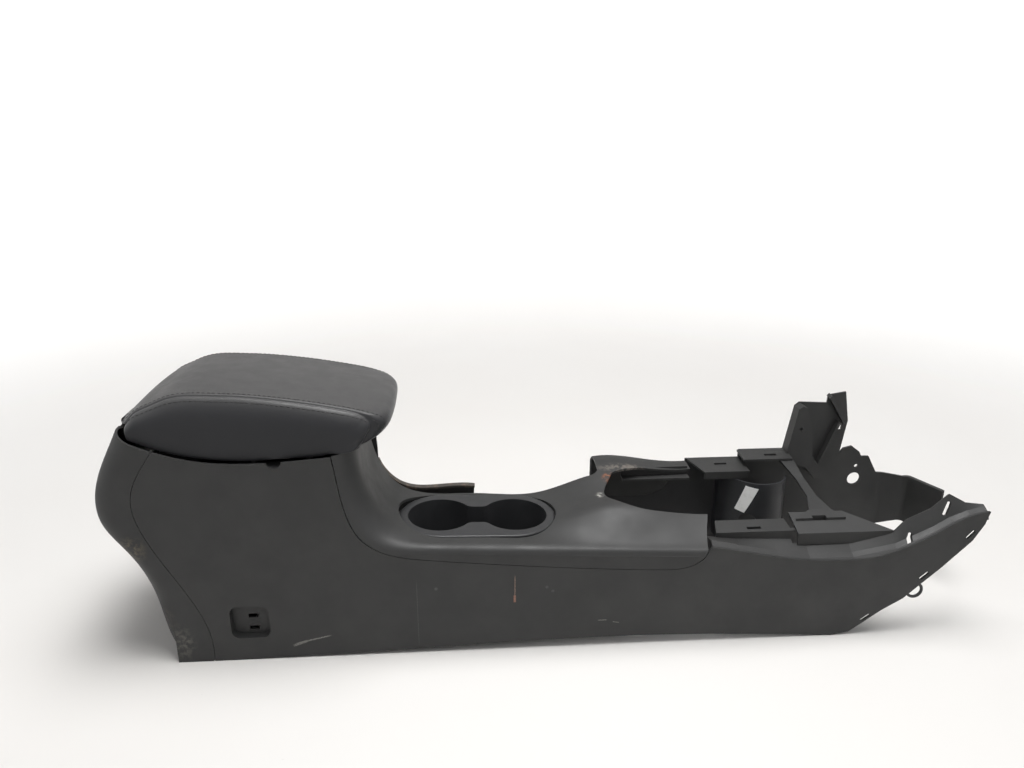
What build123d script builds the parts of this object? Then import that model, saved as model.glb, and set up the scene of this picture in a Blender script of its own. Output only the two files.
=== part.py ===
from build123d import *
import math
import os

# Car centre console: an armrest box with a hinged lid, a cup holder, a handbrake slot, an open
# shifter well and a bare front frame. +X is the car's front, +Y the far (driver's) side, +Z up.
# The origin is on the floor plane, under the middle of the overall box. All sizes in millimetres.

# Driving dimensions
half_width = 95.0          # middle plane to either side wall's outer face
wall = 2.8                 # moulded wall
seam_gap = 0.6             # gap at the parting lines
lid_gap = 2.0              # dark gap under the lid
running = 0.05             # radial clearance of hinge pins
seat = 0.3                 # clearance between pieces that sit in one another
rear_corner_r = 25.0       # rear cover's corner, seen from above
riser_corner_r = 40.0      # front corner of the armrest box, seen from above
crease_r = 9.0             # rounding between side wall and deck
arch_rise = 11.0           # how far the bottom edge is arched off the floor
slot_front_x = 62.0        # front end of the handbrake slot
deck_front_x = 188.0       # front end of the deck moulding
inner_y = half_width - wall

# Side-view outlines, as (x, z)
rear_outline = [(-440, 0), (-452, 30), (-461, 82), (-483, 135), (-507, 176), (-508, 206), (-495, 243), (-474, 284)]
seam_outline = [(-476, 281), (-436, 262), (-390, 249), (-335, 245), (-276, 248), (-205, 253)]
rear_parting = [(-401, -5), (-414, 77), (-455, 160), (-464, 205), (-437, 259), (-412, 300)]
deck_parting = [(-251, 248), (-246, 213), (-240, 182), (-226, 151), (-210, 137), (-188, 128), (-150, 121.5), (-71, 113),
                (43, 103), (112, 99), (147, 101.5), (162, 110), (170, 123), (deck_front_x, 150)]
arch_outline = [(-401, 0), (-90, arch_rise * 0.75), (104, arch_rise), (254, arch_rise * 0.45), (326, 0)]
wing_lower_edge = [(326, 0), (348, 4), (384, 32), (409, 48), (450, 89), (481, 123), (492, 144), (496, 160)]
crease_outline = [(172, 126.5), (207, 119), (243, 111.5), (284, 105), (325, 103), (374, 107), (395, 114), (439, 136),
                  (462, 150), (496, 160)]

# Cup holder
cup_centre = (-94.5, -18.0)
cup_length = 187.0
cup_width = 105.0
cup_pitch = 89.0
cup_r = 39.0
cup_floor_r = 34.0
cup_depth = 62.0
cup_neck_width = 39.0
cup_neck_depth = 34.0
cup_wall = 2.4
cup_flange_depth = 5.6
cup_gap = 1.0
cup_rim_w = 5.5            # deck left between the cup holder and the handbrake slot
deck_far_y = cup_centre[1] + cup_width / 2 + cup_rim_w
cup_flange_w = 5.0
cup_edge_r = 1.8
cup_corner_r = 9.0
cup_plane = Plane(origin=(*cup_centre, 137.0), x_dir=(1, 0, -0.026), z_dir=(0.026, 0, 1))

# Shifter well, seen from above
well_rear_x = 62.0
well_near_y = -46.0
well_far_y = 62.0

# Armrest box and storage bin
bin_x = (-448.0, -257.0)
bin_side_room = 16.2
bin_half_y = inner_y - bin_side_room
bin_floor_z = 96.0
bin_rim_z = 236.0
bin_wall = 2.5
bin_corner_r = 18.0
bin_flange = 12.0

# Lid and its hinge
lid_side_step = 7.0        # how far the lid stands inside the side walls
lid_half_y = half_width - lid_side_step
lid_top = [(-473, 285.5), (-436, 311), (-399, 323), (-338, 320), (-250, 307), (-206, 298), (-187, 288)]
lid_nose = [(-187, 288), (-190, 276), (-205, 260), (-232, 252)]
hinge_x = -472.0
hinge_z = 282.5
latch_x = -235.0
latch_z = 257.0
pin_r = 2.0
barrel_r = 4.5
knuckle_len = 16.0
knuckle_y = 34.0
arm_y = knuckle_y + knuckle_len / 2 + 0.5
arm_len = 12.0
latch_pin_r = 1.5
latch_half_y = 20.0

# Edge trim on the far side of the handbrake slot, as (x, z) of its middle line
trim_curve = [(-222, 165), (-210, 143), (-192, 128), (-150, 121.8), (-96, 121.8)]
trim_t = 3.0

# Screws
screw_r = 2.4
screw_head_r = 4.8
bin_screw_places = [(-420, -87), (-420, 87), (-300, -87), (-300, 87)]
bracket_screw_places = [(-455, -40), (-455, 40)]

os.makedirs("parts", exist_ok=True)


def finish(piece, name):
    """Labels a finished piece and writes it as its own file."""
    piece.label = name
    export_step(piece, "parts/" + name + ".step")


def region_over(points, top_z, y_low, y_high):
    """Everything over a side-view curve, between two planes across the car."""
    with BuildPart() as region:
        with BuildSketch(Plane.XZ.offset(-y_high)):
            with BuildLine():
                Spline(*points)
                Polyline(points[-1], (points[-1][0], top_z), (points[0][0], top_z), points[0])
            make_face()
        extrude(amount=y_high - y_low)
    return region.part


def region_behind(points, back_x):
    """Everything behind a side-view curve that runs upwards."""
    with BuildPart() as region:
        with BuildSketch(Plane.XZ.offset(-half_width - 5)):
            with BuildLine():
                Spline(*points)
                Polyline(points[-1], (back_x, points[-1][1]), (back_x, points[0][1]), points[0])
            make_face()
        extrude(amount=2 * half_width + 10)
    return region.part


def across(x, z, radius, y_low, y_high):
    """Cylinder whose axis runs across the car."""
    return Pos(x, (y_low + y_high) / 2, z) * Rot(90, 0, 0) * Cylinder(radius, y_high - y_low)


hinge_relief = across(hinge_x, hinge_z, barrel_r + 2, -64, 64)

# Cutters along the parting lines, shared by the pieces on both sides of each line
over_seam = region_over(seam_outline, 340, -half_width - 5, half_width + 5)
rear_side = region_behind(rear_parting, -560)


def deck_height(x, y):
    """Height of the deck's outer surface: flat round the cups, raised round the shifter well."""
    rise = max(0.0, min(1.0, (x + 20) / 82))
    rise = rise * rise * (3 - 2 * rise)
    middle = 138 - 4 * (x + 160) / 160 + 20 * rise - 7 * max(0.0, x - 62) / 128
    near = 139 - 17 * (x + 160) / 350
    if y <= -84:
        return near
    if y < well_near_y:
        part = (y + 84) / (84 + well_near_y)
        return near + (middle - near) * part
    far_lift = 9 * rise * max(0.0, min(1.0, y / 60))
    return middle + far_lift


def deck_curve(y, inset):
    """Side view of riser and deck at one distance across, as points of one curve."""
    near = max(0.0, y + half_width - inset)
    far = max(0.0, half_width - inset - y)
    corner = riser_corner_r - inset
    back = corner - math.sqrt(max(0.0, corner ** 2 - max(0.0, corner - near) ** 2))
    crease = crease_r - inset
    side = min(near, far)
    drop = crease - math.sqrt(max(0.0, crease ** 2 - max(0.0, crease - side) ** 2))
    riser = [(-236, 300), (-225, 225), (-212, 179), (-190, 151)]
    points = [(x - back * 0.9 - inset, z - (inset + drop) * max(0.0, (200 - z) / 60)) for x, z in riser]
    for x in (-150, -98, -20, 20, 62, 130, deck_front_x):
        points.append((x, deck_height(x, y) - inset - drop))
    return points


def deck_envelope(stations, inset, floor_z):
    """Solid under the deck's surface, lofted across the car through side views."""
    with BuildPart() as envelope:
        for y in stations:
            points = deck_curve(y, inset)
            with BuildSketch(Plane.XZ.offset(-y)):
                with BuildLine():
                    Spline(*points)
                    Polyline(points[-1], (points[-1][0], floor_z), (points[0][0], floor_z), points[0])
                make_face()
        loft()
    return envelope.part


# Upper deck: riser, cup deck and the raised rim round the shifter well, one moulding
outer_stations = [step - half_width for step in (0, 1.5, 4, 9, 17, 31)] + [well_near_y, -10, 30, 60]
outer_stations += [half_width - step for step in (9, 4, 1.5, 0)]
inner_stations = [step - inner_y for step in (0, 1.2, 3.2, 7.2, 14.2, 28.2)] + [well_near_y, -10, 30, 60]
inner_stations += [inner_y - step for step in (7.2, 3.2, 1.2, 0)]
deck_outer = deck_envelope(outer_stations, 0, 60)
deck_inner = deck_envelope(inner_stations, wall, 20)
deck_seam = [(x + (seam_gap if x < slot_front_x else -seam_gap), z + seam_gap) for x, z in deck_parting]
deck_zone = region_over(deck_seam, 330, -half_width - 5, half_width + 5)

with BuildPart() as upper_deck:
    add(deck_outer)
    add(deck_inner, mode=Mode.SUBTRACT)
    add(deck_zone, mode=Mode.INTERSECT)
    add(over_seam, mode=Mode.SUBTRACT)
    # cup holder's opening
    with BuildSketch(cup_plane.offset(-20)):
        SlotOverall(cup_length + 2 * cup_gap, cup_width + 2 * cup_gap)
    extrude(amount=40, mode=Mode.SUBTRACT)
    # shifter well
    with BuildSketch(Plane.XY.offset(60)):
        with BuildLine():
            Polyline((200, well_near_y), (118, well_near_y))
            Spline((118, well_near_y), (78, -34), (well_rear_x, -4), (74, 30), (118, 56), tangents=((-1, 0), (1, 0.35)))
            Polyline((118, 56), (200, well_far_y), (200, well_near_y))
        make_face()
    extrude(amount=120, mode=Mode.SUBTRACT)
    # sunk ledge along the well's far rim
    with Locations((140, 57.5, 142.5)):
        Box(88, 15, wall)
    with Locations((140, 64.5, 148)):
        Box(88, wall, 13)
    # handbrake slot along the far side, through deck and riser
    with BuildSketch(Plane.XY.offset(50)):
        with Locations((-110, deck_far_y + 30)):
            RectangleRounded(2 * (slot_front_x + 110), 60, 12)
    extrude(amount=260, mode=Mode.SUBTRACT)
finish(upper_deck.part, "upper_deck")

# Rear cover: wraps round both rear corners behind the rear parting lines
cover_front_x = -395


def rear_envelope(inset, floor_z):
    """Solid behind the rear outline, with rounded corners seen from above."""
    points = [(x + inset, z) for x, z in rear_outline]
    with BuildPart() as envelope:
        with BuildSketch(Plane.XZ.offset(-half_width + inset)):
            with BuildLine():
                Spline(*points)
                Polyline(points[-1], (cover_front_x, 284), (cover_front_x, floor_z), (points[0][0], floor_z), points[0])
            make_face()
        extrude(amount=2 * (half_width - inset))
        fillet(envelope.edges().filter_by(GeomType.BSPLINE), radius=rear_corner_r - inset)
    return envelope.part


with BuildPart() as rear_cover:
    add(rear_envelope(0, -1))
    add(rear_envelope(wall, -2), mode=Mode.SUBTRACT)
    add(rear_side, mode=Mode.INTERSECT)
    add(over_seam, mode=Mode.SUBTRACT)
    add(hinge_relief, mode=Mode.SUBTRACT)
    with BuildSketch(Plane.XY.offset(-5)):
        Rectangle(1200, 300)
    extrude(amount=5, mode=Mode.SUBTRACT)
finish(rear_cover.part, "rear_cover")


def trim_strip(thick, y_low, y_high):
    """Strip along the trim's curve, between two planes across the car."""
    with BuildPart() as strip:
        with BuildSketch(Plane.XZ.offset(-y_high)):
            with BuildLine():
                Spline(*trim_curve)
            trace(line_width=thick)
        extrude(amount=y_high - y_low)
    return strip.part


def wall_plate(front_edge, crease, upper, y_low):
    """One flat side wall: arched foot, front edge, front crease and upper edge."""
    with BuildPart() as plate:
        with BuildSketch(Plane.XZ.offset(-y_low - wall)):
            with BuildLine():
                Spline(*arch_outline)
                Polyline(*front_edge)
                if crease:
                    Spline(*crease)
                Polyline(*upper)
                Line(upper[-1], arch_outline[0])
            make_face()
        extrude(amount=wall)
    return plate.part


slot_side = Pos(slot_front_x - 200, inner_y + 10, 200) * Box(400, 22, 400)
body_cut = region_over(deck_parting, 330, -half_width - 5, half_width + 5) - slot_side
rear_cut = Pos(seam_gap, 0, 0) * rear_side
trim_over = region_over(trim_curve, 330, inner_y - 1, half_width + 1)
box_upper = [(-230, 330), (-476, 330), (-476, 0)]
near_upper = [crease_outline[0], (crease_outline[0][0], 330), *box_upper]
far_upper = [(446, 32), (446, 147), (439, 141), (432, 155), (420, 164), (408, 161), (403, 152), (409, 202), (401, 243)]
far_upper += [(377, 239), (377, 228), (339, 230), (333, 225), (324, 163), (262, 163), (262, 152), (189, 152)]
far_upper += [(189, 140), (slot_front_x + 1, 140), (slot_front_x + 1, 95), (-98, 95), (-96, 125), (-150, 127), (-192, 136), (-205, 155), (-222, 178), *box_upper]
far_front_edge = [(326, 0), (400, 10), (446, 32)]

# Near front band: rounded crease, then a face that leans in up to the clip flange
# each row is x, crease height, top edge's y and z
band_rows = [(173, 126.3, -66, 124), (207, 119, -66, 121), (252, 110, -66, 120), (291, 104.5, -67, 118), (343, 104, -70, 118),
             (394, 113.5, -76, 126), (408, 120, -76, 143), (436, 134, -76, 157), (455, 146, -76, 175), (474, 154, -79, 165),
             (495, 159, -81, 163)]


def band_section(x, crease_z, top_y, top_z):
    """Closed strip across the band at one place along the car."""
    low = (-half_width, crease_z - 9)
    outer = [low, (-half_width + 1.5, crease_z - 3), (-half_width + 5, crease_z), (-84, crease_z + 3), (top_y, top_z)]
    inner = [(y + wall * 0.9, z - wall * 0.5) for y, z in outer[::-1]]
    with BuildSketch(Plane.YZ.offset(x)) as section:
        with BuildLine():
            Polyline(*outer, *inner, low)
        make_face()
    return section.sketch


with BuildPart() as near_band:
    for row in band_rows:
        add(band_section(*row))
    loft(ruled=True)

# Front skirt: the far wall's front end, bent inwards and cut off below along a slope
with BuildPart() as skirt:
    with BuildSketch():
        with BuildLine():
            FilletPolyline((430, inner_y + wall / 2), (466, inner_y + wall / 2), (494, 74), (507, 11), radius=16)
        trace(line_width=wall)
    extrude(amount=160)
    with BuildSketch(Plane.XZ.offset(-200)):
        Polygon((420, -1), (420, 18), (446, 32), (515, 72), (515, -1), align=None)
        Polygon((420, 170), (420, 149), (446, 148), (460, 123), (490, 124), (515, 138), (515, 170), align=None)
    extrude(amount=200, mode=Mode.SUBTRACT)


def sloped_strip(rows, thick):
    """Strip lofted across the car; each row is y, rear x, front x and top z."""
    with BuildPart() as strip:
        for y, x_rear, x_front, top_z in rows:
            with BuildSketch(Plane.XZ.offset(-y)):
                with Locations(((x_rear + x_front) / 2, top_z - thick / 2)):
                    Rectangle(x_front - x_rear, thick)
        loft(ruled=True)
    return strip.part


cross_rows = [(88, 296, 326, 163), (66, 310, 328, 158), (30, 317, 328, 149), (-10, 316, 328, 144), (-40, 306, 333, 141),
              (-56, 284, 345, 138)]
near_low_plate = [(-42, 190, 284, 131), (-68, 184, 286, 129)]
near_high_plate = [(-42, 280, 346, 139), (-76, 280, 396, 129)]
far_low_plate = [(inner_y + 1, 191, 264, 152), (50, 204, 264, 151)]
far_high_plate = [(inner_y + 1, 260, 326, 163), (64, 260, 326, 161)]
far_step = [(53, 204, 262, 151), (50, 204, 262, 151)]
plate_slots = [(232, -60, 130), (313, -54, 137), (232, 74, 152), (300, 76, 163)]

# Tower on the far wall: a hollow pillar, a slanted rib and a clip flange down its front edge
with BuildPart() as tower_frame:
    with BuildSketch(Plane.XZ.offset(-half_width)):
        Polygon((323, 161), (333, 225), (339, 229), (345, 226), (357, 190), (359, 157), (384, 124), (366, 124), (352, 140), (326, 150), align=None)
    extrude(amount=17)
    with BuildSketch(Plane.XZ.offset(-half_width - 0.01)):
        Polygon((327, 163), (336, 222), (339, 225), (343, 222), (354, 189), (356, 158), (358, 152), (330, 152), align=None)
    extrude(amount=17 - wall, mode=Mode.SUBTRACT)
    with BuildSketch(Plane.XZ.offset(-half_width)):
        Polygon((392, 203), (395, 201), (373, 139), (370, 141), align=None)
        Polygon((376, 238), (379, 241), (403, 201), (400, 199), align=None)
    extrude(amount=12)
    with BuildSketch(Plane.XZ.offset(-80)):
        with Locations((339, 197)):
            Circle(2.2)
    extrude(amount=4, mode=Mode.SUBTRACT)

# Side screw pocket in the near wall
pocket_x, pocket_z = -355.0, 50.0
pocket_w, pocket_h, pocket_depth, pocket_r = 49.0, 47.0, 12.0, 12.0
clip_slots = [(366, 23, 38), (430, 78, 43), (477, 131, 50)]
flange_slots = [(409, 121), (452, 158)]
fix_hole = (429.0, 115.0, 9.0)
bulkhead_x = bin_x[1] + 5
ledge_z = bin_rim_z - seat
tie_x, tie_z = -377.0, 24.0
floor_hole_y, floor_hole_r = 45.0, 4.0

with BuildPart() as body_shell:
    add(wall_plate(wing_lower_edge, crease_outline[::-1], near_upper, -half_width))
    add(wall_plate(far_front_edge, None, far_upper, inner_y))
    add(body_cut, mode=Mode.SUBTRACT)
    add(over_seam, mode=Mode.SUBTRACT)
    add(rear_cut, mode=Mode.SUBTRACT)
    add(trim_over, mode=Mode.SUBTRACT)
    add(trim_strip(trim_t + 2 * seat, inner_y - 1, half_width + 1), mode=Mode.SUBTRACT)
    add(near_band.part)
    add(skirt.part)
    add(sloped_strip(cross_rows, wall))
    add(sloped_strip(near_low_plate, 13))
    add(sloped_strip([(y + wall, a, b, z - wall) for y, a, b, z in near_low_plate], 14), mode=Mode.SUBTRACT)
    add(sloped_strip(near_high_plate, 15))
    add(sloped_strip([(y + wall, a - 5, b - wall, z - wall) for y, a, b, z in near_high_plate], 16), mode=Mode.SUBTRACT)
    add(sloped_strip(far_low_plate, wall))
    add(sloped_strip(far_high_plate, wall))
    add(sloped_strip(far_step, 10))
    for x, y, z in plate_slots:
        with Locations((x, y, z)):
            Box(17, 5, 9, mode=Mode.SUBTRACT)
    add(tower_frame.part)
    # bulkhead in front of the bin, and ledges that the bin's flange sits on
    with BuildSketch(Plane.YZ.offset(bulkhead_x)):
        with Locations((0, 120 + (ledge_z - 120) / 2)):
            Rectangle(2 * inner_y - 2, ledge_z - 120)
        with Locations((0, 90)):
            Rectangle(2 * inner_y + 1, 64)
    extrude(amount=wall)
    for y in (-inner_y + 4, inner_y - 4):
        with BuildSketch(Plane.XY.offset(ledge_z - wall)):
            with Locations((bin_x[0] + 98, y)):
                Rectangle(196, 9)
        extrude(amount=wall)
    with BuildSketch(Plane.XY.offset(ledge_z - wall - 1)):
        with Locations(*bin_screw_places):
            Circle(screw_r + running * 4)
    extrude(amount=wall + 2, mode=Mode.SUBTRACT)
    # rear cross tie with the floor fixing holes
    with BuildSketch(Plane.XY.offset(tie_z)):
        with Locations((tie_x, 0)):
            Rectangle(30, 2 * inner_y + 1)
        with Locations((tie_x, -floor_hole_y), (tie_x, floor_hole_y)):
            Circle(floor_hole_r, mode=Mode.SUBTRACT)
    extrude(amount=wall)
    # screw pocket: a tub behind an opening in the near wall
    with BuildSketch(Plane.XZ.offset(half_width)):
        with Locations((pocket_x, pocket_z)):
            RectangleRounded(pocket_w, pocket_h, pocket_r)
    extrude(amount=-pocket_depth, taper=6)
    with BuildSketch(Plane.XZ.offset(half_width + 0.01)):
        with Locations((pocket_x, pocket_z)):
            RectangleRounded(pocket_w - 2 * wall, pocket_h - 2 * wall, pocket_r - wall)
    extrude(amount=-(pocket_depth - wall), taper=6, mode=Mode.SUBTRACT)
    with BuildSketch(Plane.XZ.offset(half_width + 1)):
        with Locations((pocket_x - 2, pocket_z + 19)):
            Rectangle(12, 3)
        with Locations((pocket_x + 2, pocket_z + 3), (pocket_x + 2, pocket_z - 13)):
            Rectangle(11, 5)
        with Locations((-311, 247)):
            Circle(8)
        for x, z, turn in clip_slots:
            with Locations(Location((x, z), turn)):
                RectangleRounded(13, 4, 1.5)
    extrude(amount=-(pocket_depth + 6), mode=Mode.SUBTRACT)
    with BuildSketch(Plane.XZ.offset(60)):
        for x, z in flange_slots:
            with Locations(Location((x, z), 68)):
                RectangleRounded(17, 4.5, 1.5)
    extrude(amount=30, mode=Mode.SUBTRACT)
    # fixing hole and locating hole in the far wall
    with BuildSketch(Plane.XZ.offset(-half_width - 1)):
        with Locations(fix_hole[:2]):
            Circle(fix_hole[2])
        with Locations((430, 134)):
            Circle(2.6)
        with Locations((399, 193)):
            Rectangle(4, 9)
    extrude(amount=8, mode=Mode.SUBTRACT)
finish(body_shell.part, "body_shell")


# Storage bin: tapered box that hangs by its flange on the body's ledges
bin_mid_x = (bin_x[0] + bin_x[1]) / 2
bin_length = bin_x[1] - bin_x[0]


def bin_solid(inset, bottom_z, top_z):
    """Tapered rounded box; its floor is smaller than its mouth."""
    with BuildPart() as block:
        with BuildSketch(Plane.XY.offset(top_z)):
            with Locations((bin_mid_x, 0)):
                RectangleRounded(bin_length - 2 * inset, 2 * (bin_half_y - inset), bin_corner_r - inset)
        extrude(amount=bottom_z - top_z, taper=3)
    return block.part


with BuildPart() as storage_bin:
    add(bin_solid(0, bin_floor_z, bin_rim_z))
    fillet(storage_bin.faces().sort_by(Axis.Z)[0].edges(), radius=9)
    with BuildSketch(Plane.XY.offset(bin_rim_z)):
        with Locations((bin_mid_x, 0)):
            RectangleRounded(bin_length + 2 * bin_flange, 2 * (inner_y - 1), bin_corner_r + 4)
    extrude(amount=bin_wall)
    with BuildPart(mode=Mode.PRIVATE) as bin_space:
        add(bin_solid(bin_wall, bin_floor_z + bin_wall, bin_rim_z + 0.01))
        fillet(bin_space.faces().sort_by(Axis.Z)[0].edges(), radius=9 - bin_wall)
        with BuildSketch(Plane.XY.offset(bin_rim_z)):
            with Locations((bin_mid_x, 0)):
                RectangleRounded(bin_length - 2 * bin_wall, 2 * (bin_half_y - bin_wall), bin_corner_r - bin_wall)
        extrude(amount=bin_wall + 1)
    add(bin_space.part, mode=Mode.SUBTRACT)
    with BuildSketch(Plane.XY.offset(bin_rim_z - 1)):
        with Locations(*bin_screw_places, *bracket_screw_places):
            Circle(screw_r + running * 4)
    extrude(amount=bin_wall + 2, mode=Mode.SUBTRACT)
finish(storage_bin.part, "storage_bin")

# Cup holder: stadium bezel, two tapered wells and the neck between them, in line with the deck


def cup_wells(grow, floor_depth, top_height):
    """Both wells and the neck as one solid, grown outwards by one wall where asked."""
    with BuildPart() as wells:
        for side in (-1, 1):
            with BuildSketch(cup_plane.offset(-floor_depth)):
                with Locations((side * cup_pitch / 2, 0)):
                    Circle(cup_floor_r + grow)
            with BuildSketch(cup_plane.offset(top_height)):
                with Locations((side * cup_pitch / 2, 0)):
                    Circle(cup_r + grow)
            loft()
        with BuildSketch(cup_plane.offset(-cup_neck_depth - grow)):
            Rectangle(cup_pitch, cup_neck_width + 2 * grow)
        extrude(amount=cup_neck_depth + grow + top_height)
        corners = wells.edges().filter_by(lambda edge: abs((edge @ 1 - edge @ 0).Z) > cup_neck_depth * 0.7)
        corners = corners.filter_by(lambda edge: abs(edge.center().X - cup_centre[0]) < cup_pitch / 2 - 5)
        corners = corners.filter_by(lambda edge: abs(edge.center().Y - cup_centre[1]) > 5)
        fillet(corners, radius=cup_corner_r - grow)
    return wells.part


with BuildPart() as cup_holder:
    with BuildSketch(cup_plane.offset(-cup_flange_depth - cup_wall)):
        SlotOverall(cup_length, cup_width)
    extrude(amount=cup_flange_depth + cup_wall)
    fillet(cup_holder.faces().sort_by(Axis.Z)[-1].edges(), radius=cup_edge_r)
    with BuildSketch(cup_plane.offset(-cup_flange_depth - cup_wall - 0.01)):
        SlotOverall(cup_length - 2 * cup_wall, cup_width - 2 * cup_wall)
    extrude(amount=cup_flange_depth, mode=Mode.SUBTRACT)
    with BuildSketch(cup_plane.offset(-cup_flange_depth - cup_wall)):
        SlotOverall(cup_length + 2 * cup_flange_w, cup_width + 2 * cup_flange_w)
        SlotOverall(cup_length - 2 * cup_wall, cup_width - 2 * cup_wall, mode=Mode.SUBTRACT)
    extrude(amount=cup_wall)
    add(cup_wells(cup_wall, cup_depth + cup_wall, -0.5))
    add(cup_wells(0, cup_depth, 0.01), mode=Mode.SUBTRACT)
finish(cup_holder.part, "cup_holder")

# Lid: padded cover over a hard inner panel, hinged at the rear
lid_bottom = [(-471, 281.5 + lid_gap)] + [(x, z + lid_gap) for x, z in seam_outline[1:-1]]
lid_crown = 4.0
lid_edge_r = 15.0
panel_t = 3.0
panel_x = (-446, -222)
panel_half_y = lid_half_y - 6


def lid_section(y):
    """Side view of the padded lid at one distance across, drawn in towards its rounded edge."""
    edge = max(0.0, lid_edge_r - (lid_half_y - abs(y)))
    tuck = lid_edge_r - math.sqrt(lid_edge_r ** 2 - edge ** 2) - lid_crown * math.cos(y / lid_half_y * math.pi / 2)
    top = [(x, z - tuck) for x, z in lid_top[1:-1]]
    rear = (lid_top[0][0] + max(0, tuck) * 0.2, lid_top[0][1])
    tip = (lid_top[-1][0] - max(0, tuck) * 0.9, lid_top[-1][1] - max(0, tuck) * 0.3)
    nose = [(x - max(0, tuck) * 0.6, z) for x, z in lid_nose[1:-1]]
    with BuildSketch(Plane.XZ.offset(-y)) as section:
        with BuildLine():
            Spline(rear, *top, tip)
            Spline(tip, *nose, lid_nose[-1])
            Spline(lid_nose[-1], *lid_bottom[::-1])
            Line(lid_bottom[0], rear)
        make_face()
    return section.sketch


def under_lid(low, high, half_y, x_low, x_high):
    """Layer that follows the lid's underside between two heights above it."""
    curve = [(x, z + low) for x, z in [(-480, 285), *lid_bottom[1:], lid_nose[-1], (-205, 252)]]
    with BuildPart() as layer:
        with BuildSketch(Plane.XZ.offset(-half_y)):
            with BuildLine():
                lower = Spline(*curve)
                upper = Spline(*[(x, z + high - low) for x, z in curve])
                Line(lower @ 0, upper @ 0)
                Line(lower @ 1, upper @ 1)
            make_face()
        extrude(amount=2 * half_y)
        with BuildSketch(Plane.XY.offset(200)):
            with Locations(((x_low + x_high) / 2, 0)):
                RectangleRounded(x_high - x_low, 2 * half_y, 12)
        extrude(amount=120, mode=Mode.INTERSECT)
    return layer.part


def arm_plate(grow):
    """Both lid arms between the hinge barrels and the inner panel."""
    plates = Part()
    for y in (-arm_y - arm_len / 2, arm_y + arm_len / 2):
        with BuildPart() as plate:
            with BuildSketch(Plane.XZ.offset(-y - 2 - grow)):
                Polygon((hinge_x, hinge_z + 3.5 + grow), (-443 + grow, 272 + grow), (-443 + grow, 264.5 - grow),
                        (hinge_x, hinge_z - 3.5 - grow), align=None)
            extrude(amount=4 + 2 * grow)
        plates += plate.part
    return plates


latch_room = Pos(latch_x + 8, 0, latch_z - 10) * Box(40, 60, 30)
panel_room = under_lid(-2, panel_t + seat, panel_half_y + seat, panel_x[0] - seat, panel_x[1] + seat)
edge_angles = [90, 70, 50, 30, 10]
edge_stations = [lid_half_y - lid_edge_r * (1 - math.sin(math.radians(angle))) for angle in edge_angles]
half_stations = edge_stations + [64, 48, 32, 16]
arm_barrels = Part() + [across(hinge_x, hinge_z, barrel_r, *span) for span in ((-arm_y - arm_len, -arm_y), (arm_y, arm_y + arm_len))]
bracket_barrels = Part() + [across(hinge_x, hinge_z, barrel_r, y - knuckle_len / 2, y + knuckle_len / 2) for y in (-knuckle_y, knuckle_y)]
pin_hole = across(hinge_x, hinge_z, pin_r + running, -70, 70)
over_panel = under_lid(panel_t - 0.5, 60, 100, -480, -200)
latch_slot = Pos(latch_x, 0, latch_z - 10) * Box(30, 50, 40)
latch_bore = across(latch_x, latch_z, latch_pin_r + running, -30, 30)
with BuildPart() as lid_pad:
    for y in [-y for y in half_stations] + [0] + half_stations[::-1]:
        add(lid_section(y))
    loft(ruled=True)
    add(panel_room, mode=Mode.SUBTRACT)
    add(hinge_relief, mode=Mode.SUBTRACT)
    add(latch_room, mode=Mode.SUBTRACT)
    add(arm_plate(1), mode=Mode.SUBTRACT)
finish(lid_pad.part, "lid_pad")

# Lid's inner panel: follows the underside, with a locating rib and the hinge arms
with BuildPart() as lid_panel:
    add(under_lid(0, panel_t, panel_half_y, *panel_x))
    with BuildSketch(Plane.XY.offset(bin_rim_z + bin_wall + 2)):
        with Locations((bin_mid_x, 0)):
            RectangleRounded(bin_length - 16, 2 * bin_half_y - 16, bin_corner_r - 8)
            RectangleRounded(bin_length - 20, 2 * bin_half_y - 20, bin_corner_r - 10, mode=Mode.SUBTRACT)
    extrude(amount=40)
    add(over_panel, mode=Mode.SUBTRACT)
    add(arm_plate(0))
    add(arm_barrels)
    add(latch_slot, mode=Mode.SUBTRACT)
    for y in (-26.5, 26.5):
        with BuildSketch(Plane.XZ.offset(-y - 1.5)):
            with Locations((latch_x, latch_z - 0.5)):
                RectangleRounded(9, 8, 2)
        extrude(amount=3)
    add(pin_hole, mode=Mode.SUBTRACT)
    add(latch_bore, mode=Mode.SUBTRACT)
finish(lid_panel.part, "lid_panel")

# Hinge bracket: folded steel plate on the bin's rear flange, with two rolled knuckles
bracket_t = 2.0
flange_top = bin_rim_z + bin_wall
bracket_back = hinge_x - 2
with BuildPart() as hinge_bracket:
    with BuildSketch(Plane.XY.offset(flange_top)):
        with Locations((bracket_back + 13, 0)):
            RectangleRounded(20, 96, 3)
        with Locations(*bracket_screw_places):
            Circle(screw_r + running * 4, mode=Mode.SUBTRACT)
    extrude(amount=bracket_t)
    for y in (-knuckle_y, knuckle_y):
        with BuildSketch(Plane.XZ.offset(-y - knuckle_len / 2)):
            with BuildLine():
                Polyline((bracket_back + 3, flange_top), (bracket_back + 5, flange_top), (bracket_back + 5, hinge_z - 6),
                         (hinge_x + 3, hinge_z), (hinge_x - 3, hinge_z), (bracket_back + 3, hinge_z - 6), (bracket_back + 3, flange_top))
            make_face()
        extrude(amount=knuckle_len)
    add(bracket_barrels)
    add(pin_hole, mode=Mode.SUBTRACT)
finish(hinge_bracket.part, "hinge_bracket")

finish(across(hinge_x, hinge_z, pin_r, -60, 60), "hinge_pin")

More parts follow.
